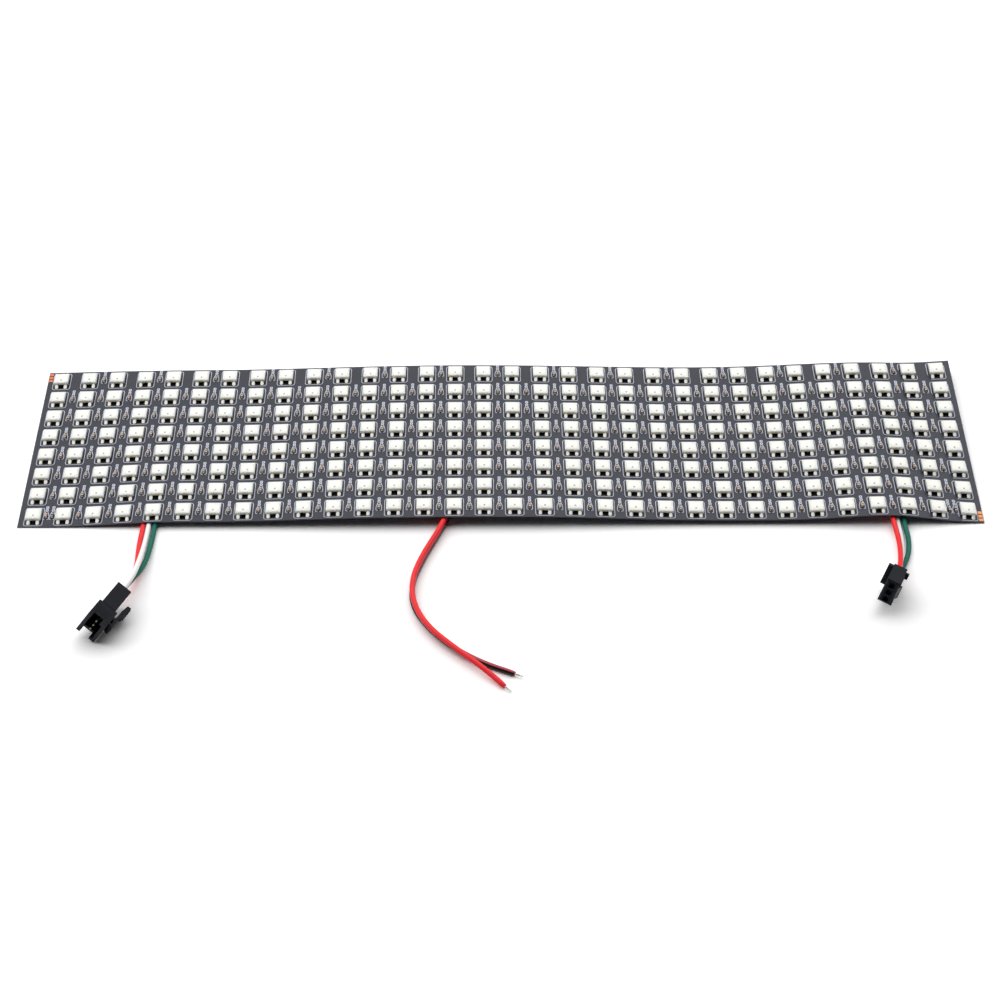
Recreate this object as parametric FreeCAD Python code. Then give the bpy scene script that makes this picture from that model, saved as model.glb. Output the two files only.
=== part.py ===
"""Flexible LED dot matrix: a thin wavy printed sheet with a grid of square LED packages.

Millimetres, +Z up. X runs along the rows of LEDs and Y across them, with the wires on the -Y side.
The origin is on the floor under the middle of the sheet, which lies face up and rests on its ends.
"""
import FreeCAD, Part
import math
import os
from FreeCAD import Placement, Rotation, Vector

# Printed sheet and the grid of LEDs on it
COLUMNS = 32
ROWS = 8
PITCH = 10.0
SHEET_THICKNESS = 0.3
SHEET_LENGTH = COLUMNS * PITCH
SHEET_WIDTH = ROWS * PITCH
LEFT_END = -SHEET_LENGTH / 2
RIGHT_END = SHEET_LENGTH / 2
FRONT = -SHEET_WIDTH / 2
BACK = SHEET_WIDTH / 2
SOLDER_FILM = 0.05

# LED package: a square cap over a foot that is set back at the two soldered sides
LED_SIDE = 5.0
LED_HEIGHT = 1.6
LED_FOOT_HEIGHT = 0.4
LED_FOOT_SETBACK = 0.5

# Chip capacitors between the LEDs, and one chip resistor beside the first and the last LED
CHIP_LENGTH = 1.6
CHIP_WIDTH = 0.8
CHIP_HEIGHT = 0.8
CHIP_PAIR_SPACING = 2.1

# Bare copper pads at the ends of the data line
EDGE_PAD_LENGTH = 1.4
EDGE_PAD_WIDTH = 1.2
EDGE_PAD_THICKNESS = 0.05
EDGE_PAD_SPACING = 1.65
EDGE_PAD_COUNT = 3
EDGE_PAD_FROM_END = 0.9
EDGE_PAD_FROM_CORNER = 2.9

# Wires: three data wires at each end and a stacked red and black power pair in the middle
DATA_WIRE_OD = 1.7
POWER_WIRE_OD = 1.8
CONDUCTOR_OD = 0.8
LEAD_END_LENGTH = 2.6
DATA_IN_X = LEFT_END + 43.9
POWER_X = -18.0
DATA_OUT_X = RIGHT_END - 28.4

# Solder joints of the wires on the sheet's underside
JOINT_STUB = 3.0
JOINT_PAD_RADIUS = 0.85
JOINT_TIP_RADIUS = 0.6
JOINT_COVER = 0.15

# How far each edge of the sheet is lifted off the floor: place along X, front edge, back edge
WAVE = (
    (LEFT_END, 0.0, 0.4),
    (LEFT_END + 20.0, 0.5, 0.9),
    (DATA_IN_X, 2.0, 1.3),
    (DATA_IN_X + 28.0, 2.3, 1.5),
    (POWER_X - 36.0, 3.4, 2.4),
    (POWER_X, 3.9, 3.0),
    (POWER_X + 38.0, 3.6, 2.5),
    (POWER_X + 68.0, 2.4, 1.7),
    (DATA_OUT_X - 46.0, 1.8, 1.7),
    (DATA_OUT_X - 23.0, 2.5, 2.7),
    (DATA_OUT_X, 3.5, 3.3),
    ((DATA_OUT_X + RIGHT_END) / 2, 1.6, 3.1),
    (RIGHT_END, 0.0, 3.9),
)

# Both connectors: a row of three contacts
CONTACT_PITCH = 2.5
CONTACT_COUNT = 3
WIRE_ENTRY_CLEARANCE = 0.1
WIRE_ENTRY_DEPTH = 3.0
SOCKET_WIRE_STRAIGHT = 5.0
PLUG_WIRE_STRAIGHT = 2.0
CONTACT_SIDE = 1.5
CONTACT_CLEARANCE = 0.1

# Data-in socket: rear block, wider mouth with a notch in each narrow side, pins and a latch lever
SOCKET_BLOCK_LENGTH = 9.6
SOCKET_BLOCK_THICKNESS = 5.2
SOCKET_BLOCK_WIDTH = 9.3
SOCKET_MOUTH_LENGTH = 7.6
SOCKET_MOUTH_THICKNESS = 7.0
SOCKET_MOUTH_WIDTH = 10.6
SOCKET_FLOOR = 0.8
SOCKET_WALL = 1.2
SOCKET_NOTCH_DEPTH = 2.6
SOCKET_NOTCH_WIDTH = 3.5
SOCKET_NOTCH_SHIFT = -0.4
SHOULDER_CHAMFER = 0.7
PIN_SIDE = 0.64
PIN_REACH = 5.4
LEVER_WIDTH = 4.6
LEVER_THICKNESS = 1.0
LEVER_GAP = 0.6
LEVER_START = 3.4
LEVER_END = 13.6
LEVER_PAD_LENGTH = 3.1
LEVER_PAD_RISE = 0.8
LEVER_RIB_COUNT = 3
LEVER_RIB_RISE = 0.25
LEVER_ROOT_START = 9.9
LEVER_ROOT_LENGTH = 1.4
LEVER_HOOK_LENGTH = 1.0
LATCH_WINDOW_MARGIN = 0.4
SOCKET_POSITION = Vector(DATA_IN_X - 4.9, FRONT - 37.0, 6.05)
SOCKET_TURN = -114.5
SOCKET_LEAN = 32.0
SOCKET_NOSE_UP = 1.9

# Data-out plug: a slim block with square contact mouths, a rear flange and a latch nib
PLUG_LENGTH = 13.0
PLUG_THICKNESS = 4.4
PLUG_WIDTH = 8.2
PLUG_FLANGE_START = 1.2
PLUG_FLANGE_LENGTH = 1.6
PLUG_FLANGE_RISE = 1.6
PLUG_FLANGE_WIDTH = 7.0
PLUG_RAIL_WIDTH = 1.1
PLUG_RAIL_RISE = 0.3
PLUG_STOP_START = 0.8
PLUG_STOP_LENGTH = 1.4
PLUG_STOP_WIDTH = 1.8
PLUG_STOP_HEIGHT = 2.5
PLUG_STOP_RISE = 1.2
PLUG_RAIL_START = 5.6
PLUG_NIB_START = 9.2
PLUG_NIB_LENGTH = 2.6
PLUG_NIB_WIDTH = 4.4
PLUG_NIB_RISE = 1.0
PLUG_LEAD_IN = 0.6
CONTACT_BORE = 0.8
CONTACT_BORE_DEPTH = 6.0
CONTACT_RECESS = 2.0
PLUG_POSITION = Vector(126.2, FRONT - 29.6, 4.6)
PLUG_TURN = -111.8
PLUG_LEAN = 12.4
PLUG_NOSE_UP = 20.0


def edge_curve(lifts, y):
    """Curve of one long edge of the sheet, whose parameter is the place along X."""
    curve = Part.BSplineCurve()
    points = [Vector(x, y, lift) for x, lift in lifts]
    curve.interpolate(Points=points, Parameters=[x for x, lift in lifts])
    return curve


FRONT_EDGE = edge_curve([(x, front) for x, front, back in WAVE], FRONT)
BACK_EDGE = edge_curve([(x, back) for x, front, back in WAVE], BACK)


def sheet_seat(x, y, height):
    """Placement square to the sheet at x and y, at a height above its underside."""
    front = FRONT_EDGE.value(x)
    back = BACK_EDGE.value(x)
    share = (y - FRONT) / SHEET_WIDTH
    along = FRONT_EDGE.tangent(x)[0] * (1 - share) + BACK_EDGE.tangent(x)[0] * share
    normal = along.cross(back - front).normalize()
    point = front * (1 - share) + back * share + normal * height
    return Placement(point, Rotation(along, back - front, normal, "ZXY"))


def printed_sheet():
    """The flexible printed board: a sheet ruled between its two wavy long edges."""
    underside = Part.makeRuledSurface(FRONT_EDGE.toShape(), BACK_EDGE.toShape())
    return underside.extrude(Vector(0, 0, SHEET_THICKNESS))


def column_x(column):
    """Place of a column of LEDs, counted from 0 at the left."""
    return (column - (COLUMNS - 1) / 2) * PITCH


def row_y(row):
    """Place of a row of LEDs, counted from 0 at the back."""
    return ((ROWS - 1) / 2 - row) * PITCH


def on_sheet(shape, x, y):
    """A copy of a part drawn about the origin, soldered on the sheet's face at x and y."""
    seated = shape.copy()
    seated.Placement = sheet_seat(x, y, SHEET_THICKNESS + SOLDER_FILM)
    return seated


def extruded_outline(points, direction):
    """Solid swept from a closed flat outline along a direction."""
    return Part.Face(Part.makePolygon(points + points[:1])).extrude(direction)


def led_package():
    """One LED package, its cap overhanging the foot at the front and the back."""
    half = LED_SIDE / 2
    foot = half - LED_FOOT_SETBACK
    right_half = [(foot, 0), (foot, LED_FOOT_HEIGHT), (half, LED_FOOT_HEIGHT), (half, LED_HEIGHT)]
    left_half = [(-y, z) for y, z in reversed(right_half)]
    outline = [Vector(-half, y, z) for y, z in right_half + left_half]
    return extruded_outline(outline, Vector(LED_SIDE, 0, 0))


def chip():
    """A small chip part that stands on its long face, its length along Y."""
    return Part.makeBox(CHIP_WIDTH, CHIP_LENGTH, CHIP_HEIGHT, Vector(-CHIP_WIDTH / 2, -CHIP_LENGTH / 2, 0))


def led_row(row):
    """The LED packages of one row."""
    package = led_package()
    return Part.makeCompound([on_sheet(package, column_x(column), row_y(row)) for column in range(COLUMNS)])


def gaps_with_capacitor(row):
    """Gaps of a row that hold a capacitor, counted from 0 at the left: the back row has every other one."""
    return range(1, COLUMNS - 1, 2) if row == 0 else range(COLUMNS - 1)


def has_resistor(row, gap):
    """Only the first and the last gap of the front row hold a resistor beside the capacitor."""
    return row == ROWS - 1 and gap in (0, COLUMNS - 2)


def gap_x(gap):
    """Middle of the gap to the right of a column."""
    return column_x(gap) + PITCH / 2


def capacitor_row(row):
    """The capacitors of one row, moved aside where a resistor shares their gap."""
    part = chip()
    places = [gap_x(gap) - has_resistor(row, gap) * CHIP_PAIR_SPACING / 2 for gap in gaps_with_capacitor(row)]
    return Part.makeCompound([on_sheet(part, x, row_y(row)) for x in places])


def data_resistors():
    """The two resistors in the data line, in the front row's first and last gap."""
    row = ROWS - 1
    gaps = [gap for gap in range(COLUMNS - 1) if has_resistor(row, gap)]
    return Part.makeCompound([on_sheet(chip(), gap_x(gap) + CHIP_PAIR_SPACING / 2, row_y(row)) for gap in gaps])


def edge_pads(end, corner):
    """Three copper pads beside a short end of the sheet, close to one of its corners."""
    inwards = -math.copysign(1, end)
    away = -math.copysign(1, corner)
    pad = Part.makeBox(EDGE_PAD_LENGTH, EDGE_PAD_WIDTH, EDGE_PAD_THICKNESS,
                       Vector(-EDGE_PAD_LENGTH / 2, -EDGE_PAD_WIDTH / 2, 0))
    x = end + inwards * EDGE_PAD_FROM_END
    first = corner + away * (EDGE_PAD_FROM_CORNER - EDGE_PAD_SPACING * (EDGE_PAD_COUNT - 1) / 2)
    places = [first + away * EDGE_PAD_SPACING * number for number in range(EDGE_PAD_COUNT)]
    return Part.makeCompound([on_sheet(pad, x, y) for y in places])


def smooth_path(points):
    """Straight runs joined by tangent arcs, with the radius of each arc."""
    edges = []
    radii = []
    start = points[0]
    for before, corner, after in zip(points, points[1:], points[2:]):
        arriving = (corner - before).normalize()
        leaving = (after - corner).normalize()
        half_turn = arriving.getAngle(leaving) / 2
        reach = 0.45 * min(before.distanceToPoint(corner), corner.distanceToPoint(after))
        radius = reach / math.tan(half_turn)
        inwards = (leaving - arriving).normalize()
        middle = corner + inwards * (radius / math.cos(half_turn) - radius)
        arc_start = corner - arriving * reach
        arc_end = corner + leaving * reach
        edges.append(Part.LineSegment(start, arc_start).toShape())
        edges.append(Part.Arc(arc_start, middle, arc_end).toShape())
        radii.append(radius)
        start = arc_end
    edges.append(Part.LineSegment(start, points[-1]).toShape())
    return Part.Wire(edges), radii


def insulated_wire(name, points, diameter):
    """Round insulated wire along a route; prints its length, tightest arc and volume ratio."""
    path, radii = smooth_path(points)
    section = Part.Wire(Part.makeCircle(diameter / 2, points[0], points[1] - points[0]))
    tube = path.makePipeShell([section], True, False)
    ratio = tube.Volume / (math.pi * diameter ** 2 / 4 * path.Length)
    print(f"{name}: length {path.Length:.1f}, smallest radius {min(radii):.1f}, volume ratio {ratio:.4f}")
    return tube


def solder_joint(start, second):
    """Bared wire end under the sheet and the solder cone that ties it to its pad."""
    inwards = (start - second).normalize()
    stub = Part.makeCylinder(CONDUCTOR_OD / 2, JOINT_STUB, start, inwards)
    centre = start + inwards * (JOINT_STUB - JOINT_TIP_RADIUS)
    pad = sheet_seat(centre.x, centre.y, -SOLDER_FILM)
    down = pad.Rotation.multVec(Vector(0, 0, -1))
    height = pad.Base.z - centre.z + CONDUCTOR_OD / 2 + JOINT_COVER
    cone = Part.makeCone(JOINT_PAD_RADIUS, JOINT_TIP_RADIUS, height, pad.Base, down)
    return stub.fuse(cone)


def solder_joints(routes):
    """The joints of one group of wires, at the first point of each route."""
    return Part.makeCompound([solder_joint(points[0], points[1]) for points in routes])


def lead_end(last, before):
    """Tinned strand that stands out of a cut lead."""
    return Part.makeCylinder(CONDUCTOR_OD / 2, LEAD_END_LENGTH, last, last - before)


def contact_heights():
    """Places of the contacts across a connector, from the top down."""
    return [((CONTACT_COUNT - 1) / 2 - number) * CONTACT_PITCH for number in range(CONTACT_COUNT)]


def block(start, length, side_low, side_high, width, middle=0.0):
    """Box in connector coordinates: along the mating axis, across its thickness, up its width."""
    return Part.makeBox(length, side_high - side_low, width, Vector(start, side_low, middle - width / 2))


def contact_cavities(length):
    """Round wire entries from the rear that open into square contact cavities."""
    side = CONTACT_SIDE + 2 * CONTACT_CLEARANCE
    entry_radius = DATA_WIRE_OD / 2 + WIRE_ENTRY_CLEARANCE
    cavities = []
    for height in contact_heights():
        entry = Part.makeCylinder(entry_radius, WIRE_ENTRY_DEPTH, Vector(0, 0, height), Vector(1, 0, 0))
        cavities += [entry, block(WIRE_ENTRY_DEPTH, length - WIRE_ENTRY_DEPTH, -side / 2, side / 2, side, height)]
    return cavities


def latch_lever(face, window_start):
    """Lever on the mouth's wide side: ribbed thumb pad, root web and a hook in the latch window."""
    inner = face + LEVER_GAP
    outer = inner + LEVER_THICKNESS
    pad_top = outer + LEVER_PAD_RISE
    hook_tip = face - SOCKET_WALL / 2
    hook_start = LEVER_END - LEVER_HOOK_LENGTH
    outline = [(LEVER_START, inner + LEVER_THICKNESS / 2), (LEVER_START + LEVER_PAD_LENGTH, inner),
               (hook_start, inner), (hook_start, hook_tip), (LEVER_END, inner), (LEVER_END, outer),
               (LEVER_START + LEVER_PAD_LENGTH + LEVER_PAD_RISE, outer),
               (LEVER_START + LEVER_PAD_LENGTH, pad_top), (LEVER_START, pad_top)]
    points = [Vector(along, across, -LEVER_WIDTH / 2) for along, across in outline]
    lever = extruded_outline(points, Vector(0, 0, LEVER_WIDTH))
    root = block(LEVER_ROOT_START, LEVER_ROOT_LENGTH, face, inner, LEVER_WIDTH)
    rib_step = LEVER_PAD_LENGTH / (LEVER_RIB_COUNT + 1)
    rib_top = pad_top + LEVER_RIB_RISE
    ribs = [block(LEVER_START + rib_step * (number + 0.75), rib_step / 2, pad_top, rib_top, LEVER_WIDTH)
            for number in range(LEVER_RIB_COUNT)]
    window = block(window_start, LEVER_END + LATCH_WINDOW_MARGIN - window_start, face - SOCKET_WALL, face,
                   LEVER_WIDTH + 2 * LATCH_WINDOW_MARGIN)
    return lever.multiFuse([root] + ribs), window


def socket_housing():
    """Data-in housing: block, notched mouth and latch lever, moulded in one piece."""
    total = SOCKET_BLOCK_LENGTH + SOCKET_MOUTH_LENGTH
    face = SOCKET_MOUTH_THICKNESS / 2
    rear = block(0, SOCKET_BLOCK_LENGTH, -SOCKET_BLOCK_THICKNESS / 2, SOCKET_BLOCK_THICKNESS / 2, SOCKET_BLOCK_WIDTH)
    mouth = block(SOCKET_BLOCK_LENGTH, SOCKET_MOUTH_LENGTH, -face, face, SOCKET_MOUTH_WIDTH)
    shoulder = [edge for edge in mouth.Edges if edge.BoundBox.XMax < SOCKET_BLOCK_LENGTH + SOCKET_FLOOR]
    mouth = mouth.makeChamfer(SHOULDER_CHAMFER, shoulder)
    hollow_start = SOCKET_BLOCK_LENGTH + SOCKET_FLOOR
    hollow = block(hollow_start, total - hollow_start, SOCKET_WALL - face, face - SOCKET_WALL,
                   SOCKET_MOUTH_WIDTH - 2 * SOCKET_WALL)
    notch = block(total - SOCKET_NOTCH_DEPTH, SOCKET_NOTCH_DEPTH, SOCKET_NOTCH_SHIFT - SOCKET_NOTCH_WIDTH / 2,
                  SOCKET_NOTCH_SHIFT + SOCKET_NOTCH_WIDTH / 2, SOCKET_MOUTH_WIDTH)
    lever, window = latch_lever(face, LEVER_END - LEVER_HOOK_LENGTH - LATCH_WINDOW_MARGIN)
    housing = rear.fuse(mouth).cut([hollow, notch, window] + contact_cavities(hollow_start))
    return housing.fuse(lever).removeSplitter()


def socket_pins():
    """The three pins of the data-in socket, each with the body that grips its wire."""
    floor = SOCKET_BLOCK_LENGTH + SOCKET_FLOOR
    half = CONTACT_SIDE / 2
    pins = []
    for height in contact_heights():
        body = block(WIRE_ENTRY_DEPTH, floor - WIRE_ENTRY_DEPTH, -half, half, CONTACT_SIDE, height)
        pin = block(floor, PIN_REACH, -PIN_SIDE / 2, PIN_SIDE / 2, PIN_SIDE, height)
        tip = [edge for edge in pin.Edges if edge.BoundBox.XMin > floor]
        pins.append(body.fuse(pin.makeChamfer(PIN_SIDE / 4, tip)))
    return Part.makeCompound(pins)


def plug_housing():
    """Data-out housing: slim block with a flange, guide rails, a rear stop and a latch nib."""
    half = PLUG_THICKNESS / 2
    body = block(0, PLUG_LENGTH, -half, half, PLUG_WIDTH)
    lead_in = [edge for edge in body.Edges if edge.BoundBox.XMin > PLUG_LENGTH / 2]
    body = body.makeChamfer(PLUG_LEAD_IN, lead_in)
    flange = block(PLUG_FLANGE_START, PLUG_FLANGE_LENGTH, -half - PLUG_FLANGE_RISE, -half, PLUG_FLANGE_WIDTH,
                   (PLUG_WIDTH - PLUG_FLANGE_WIDTH) / 2)
    stop = block(PLUG_STOP_START, PLUG_STOP_LENGTH, half, half + PLUG_STOP_RISE, PLUG_STOP_WIDTH, PLUG_STOP_HEIGHT)
    nib_end = PLUG_NIB_START + PLUG_NIB_LENGTH
    nib_outline = [Vector(PLUG_NIB_START, half, -PLUG_NIB_WIDTH / 2),
                   Vector(PLUG_NIB_START, half + PLUG_NIB_RISE, -PLUG_NIB_WIDTH / 2),
                   Vector(nib_end, half, -PLUG_NIB_WIDTH / 2)]
    nib = extruded_outline(nib_outline, Vector(0, 0, PLUG_NIB_WIDTH))
    rail_length = PLUG_LENGTH - PLUG_LEAD_IN - PLUG_RAIL_START
    rail_offset = (PLUG_WIDTH - PLUG_RAIL_WIDTH) / 2
    rails = [block(PLUG_RAIL_START, rail_length, half, half + PLUG_RAIL_RISE, PLUG_RAIL_WIDTH, side * rail_offset)
             for side in (-1, 1)]
    return body.multiFuse([flange, stop, nib] + rails).cut(contact_cavities(PLUG_LENGTH)).removeSplitter()


def plug_contacts():
    """The three spring contacts of the data-out plug, set back from its face."""
    half = CONTACT_SIDE / 2
    end = PLUG_LENGTH - CONTACT_RECESS
    contacts = []
    for height in contact_heights():
        body = block(WIRE_ENTRY_DEPTH, end - WIRE_ENTRY_DEPTH, -half, half, CONTACT_SIDE, height)
        bore = block(end - CONTACT_BORE_DEPTH, CONTACT_BORE_DEPTH, -CONTACT_BORE / 2, CONTACT_BORE / 2,
                     CONTACT_BORE, height)
        contacts.append(body.cut(bore))
    return Part.makeCompound(contacts)


SOCKET_SEAT = Placement(SOCKET_POSITION, Rotation(SOCKET_TURN, -SOCKET_NOSE_UP, -SOCKET_LEAN))
PLUG_SEAT = Placement(PLUG_POSITION, Rotation(PLUG_TURN, -PLUG_NOSE_UP, -PLUG_LEAN))


def wire_entry(seat, number, straight):
    """Last two points of a wire's route: straight behind the connector, and the end inside it."""
    height = contact_heights()[number]
    return [seat.multVec(Vector(-straight, 0, height)), seat.multVec(Vector(WIRE_ENTRY_DEPTH, 0, height))]


def route(x, points):
    """Points of a wire's route, given from the place where its group leaves the sheet's front edge."""
    return [Vector(x + sideways, FRONT - out, height) for sideways, out, height in points]


# Routes of the wires, from the solder joint under the sheet to the far end: sideways, out from the edge, height
DATA_IN_ROUTES = {
    "data_in_white_wire": route(DATA_IN_X, [(0.0, -8.5, 0.9), (-0.1, 0.5, 0.9), (-0.9, 10.0, 1.7), (-1.6, 20.5, 4.3)])
    + wire_entry(SOCKET_SEAT, 0, SOCKET_WIRE_STRAIGHT),
    "data_in_green_wire": route(DATA_IN_X, [(2.1, -8.5, 0.9), (2.0, 0.5, 0.9), (1.7, 10.0, 1.2), (1.2, 22.0, 3.0)])
    + wire_entry(SOCKET_SEAT, 1, SOCKET_WIRE_STRAIGHT),
    "data_in_red_wire": route(DATA_IN_X, [(-2.1, -8.5, 0.9), (-2.2, 0.5, 0.9), (-2.6, 10.0, 1.0), (-2.9, 20.5, 2.0)])
    + wire_entry(SOCKET_SEAT, 2, SOCKET_WIRE_STRAIGHT),
}
POWER_ROUTES = {
    "power_red_wire": route(POWER_X, [(0.4, -11.5, 2.7), (0.1, -4.5, 2.75), (-1.6, 4.8, 2.75), (-6.3, 16.0, 2.75),
                                      (-10.6, 27.5, 2.75), (-10.2, 38.5, 2.75), (-4.4, 49.0, 2.75), (3.6, 58.6, 2.7),
                                      (11.4, 65.6, 2.1), (18.9, 72.7, 0.9)]),
    "power_black_wire": route(POWER_X, [(3.6, -11.5, 1.7), (3.0, -5.0, 1.2), (-1.6, 4.8, 0.9), (-6.3, 16.0, 0.9),
                                        (-10.6, 27.5, 0.9), (-10.2, 38.5, 0.9), (-4.4, 49.0, 0.9), (4.4, 57.6, 0.9),
                                        (13.0, 63.4, 0.9), (22.1, 67.5, 0.9)]),
}
DATA_OUT_ROUTES = {
    "data_out_red_wire": route(DATA_OUT_X, [(-1.9, -8.5, 2.2), (-1.8, 0.5, 2.2), (-2.2, 9.0, 2.7), (-2.4, 17.5, 4.4)])
    + wire_entry(PLUG_SEAT, 0, PLUG_WIRE_STRAIGHT),
    "data_out_white_wire": route(DATA_OUT_X, [(0.0, -8.5, 2.2), (0.1, 0.5, 1.7), (0.0, 9.0, 1.4), (-0.4, 17.8, 2.6)])
    + wire_entry(PLUG_SEAT, 1, PLUG_WIRE_STRAIGHT),
    "data_out_green_wire": route(DATA_OUT_X, [(1.9, -8.5, 2.2), (1.9, 0.5, 1.6), (2.5, 9.5, 1.0), (1.4, 18.0, 1.1)])
    + wire_entry(PLUG_SEAT, 2, PLUG_WIRE_STRAIGHT),
}


def placed(shape, seat):
    """A connector part moved from connector coordinates to where it lies."""
    shape.Placement = seat
    return shape


def build():
    """All parts by node name."""
    parts = {"flexible_board": printed_sheet()}
    for row in range(ROWS):
        parts[f"led_row_{row + 1}"] = led_row(row)
        parts[f"capacitor_row_{row + 1}"] = capacitor_row(row)
    parts["data_resistors"] = data_resistors()
    parts["right_edge_pads"] = edge_pads(RIGHT_END, FRONT)
    parts["left_edge_pads"] = edge_pads(LEFT_END, BACK)
    parts["data_in_solder_joints"] = solder_joints(DATA_IN_ROUTES.values())
    parts["power_solder_joints"] = solder_joints(POWER_ROUTES.values())
    parts["data_out_solder_joints"] = solder_joints(DATA_OUT_ROUTES.values())
    for routes, diameter in ((DATA_IN_ROUTES, DATA_WIRE_OD), (POWER_ROUTES, POWER_WIRE_OD),
                             (DATA_OUT_ROUTES, DATA_WIRE_OD)):
        for name, points in routes.items():
            parts[name] = insulated_wire(name, points, diameter)
    cut_ends = [(points[-1], points[-2]) for points in POWER_ROUTES.values()]
    parts["power_lead_ends"] = Part.makeCompound([lead_end(last, before) for last, before in cut_ends])
    parts["data_in_socket"] = placed(socket_housing(), SOCKET_SEAT)
    parts["data_in_pins"] = placed(socket_pins(), SOCKET_SEAT)
    parts["data_out_plug"] = placed(plug_housing(), PLUG_SEAT)
    parts["data_out_contacts"] = placed(plug_contacts(), PLUG_SEAT)
    return parts


def main():
    """Write one file for each part."""
    os.makedirs("parts", exist_ok=True)
    for name, shape in build().items():
        shape.exportStep(f"parts/{name}.step")


main()
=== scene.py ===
"""Flexible LED dot matrix: a wavy printed sheet with a grid of LED packages, wires and two connectors.

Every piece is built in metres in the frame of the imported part, with +Z up and the rows of LEDs along X.
Sizes in the classes are millimetres unless a docstring says otherwise.
"""
from __future__ import annotations

import logging
import math
from abc import ABC, abstractmethod
from dataclasses import dataclass, field
from enum import Enum
from typing import Callable, Sequence

import bmesh
import bpy
import numpy as np
from bmesh.types import BMesh, BMFace, BMVert
from bpy.types import ID, Material, Mesh, Node, NodeSocket, NodeTree, Object
from mathutils import Matrix, Vector

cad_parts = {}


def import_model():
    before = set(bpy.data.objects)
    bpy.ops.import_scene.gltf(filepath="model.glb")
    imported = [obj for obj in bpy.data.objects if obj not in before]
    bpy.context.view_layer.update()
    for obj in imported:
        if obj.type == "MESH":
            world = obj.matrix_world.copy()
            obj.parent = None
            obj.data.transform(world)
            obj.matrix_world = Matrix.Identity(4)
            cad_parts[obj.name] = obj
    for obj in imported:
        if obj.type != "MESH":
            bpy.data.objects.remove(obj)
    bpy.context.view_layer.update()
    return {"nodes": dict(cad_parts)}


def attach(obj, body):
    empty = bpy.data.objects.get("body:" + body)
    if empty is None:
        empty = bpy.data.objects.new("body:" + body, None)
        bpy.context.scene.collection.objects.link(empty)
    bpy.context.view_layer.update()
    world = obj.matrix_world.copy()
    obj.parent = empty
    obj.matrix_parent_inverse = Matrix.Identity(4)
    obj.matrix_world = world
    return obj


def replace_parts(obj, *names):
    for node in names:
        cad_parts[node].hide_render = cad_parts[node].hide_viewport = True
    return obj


LOG = logging.getLogger("led_dot_matrix")
MM = 0.001
PLASTIC_IOR = 1.5

Point = tuple[float, float, float]
Place = tuple[float, float]
Route = Sequence[Point]


# ---------------- materials


def linear(hex_code: str) -> tuple[float, float, float, float]:
    """Turn an sRGB hex colour into the linear colour that shaders use.

    Args:
        hex_code: Six hex digits after a hash sign.

    Returns:
        Linear red, green and blue with an alpha of 1.
    """
    channels = [int(hex_code[place:place + 2], 16) / 255 for place in (1, 3, 5)]
    bright = [c / 12.92 if c <= 0.04045 else ((c + 0.055) / 1.055) ** 2.4 for c in channels]
    return bright[0], bright[1], bright[2], 1.0


def add_node(tree: NodeTree, kind: str, inputs: dict | None = None, **settings: object) -> Node:
    """Add a node with its settings, input values and links.

    Args:
        tree: Node tree that gets the node.
        kind: Node type name, such as ShaderNodeTexNoise.
        inputs: Values or output sockets by input name or number.
        **settings: Attributes of the node.

    Returns:
        The new node.
    """
    node = tree.nodes.new(kind)
    for name, value in settings.items():
        setattr(node, name, value)
    for name, value in (inputs or {}).items():
        if isinstance(value, NodeSocket):
            tree.links.new(value, node.inputs[name])
        else:
            node.inputs[name].default_value = value
    return node


@dataclass(frozen=True)
class Finish(ABC):
    """A surface finish that makes one procedural material."""

    name: str

    def material(self) -> Material:
        """Make the material of this finish, once.

        Returns:
            The material.
        """
        found = bpy.data.materials.get(self.name)
        if found:
            return found
        material = bpy.data.materials.new(self.name)
        material.use_nodes = True
        tree = material.node_tree
        tree.nodes.clear()
        add_node(tree, "ShaderNodeOutputMaterial", {"Surface": self.surface(tree).outputs[0]})
        return material

    @abstractmethod
    def surface(self, tree: NodeTree) -> Node:
        """Build the shader.

        Args:
            tree: Node tree of the material.

        Returns:
            The node whose first output is the surface shader.
        """


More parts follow.
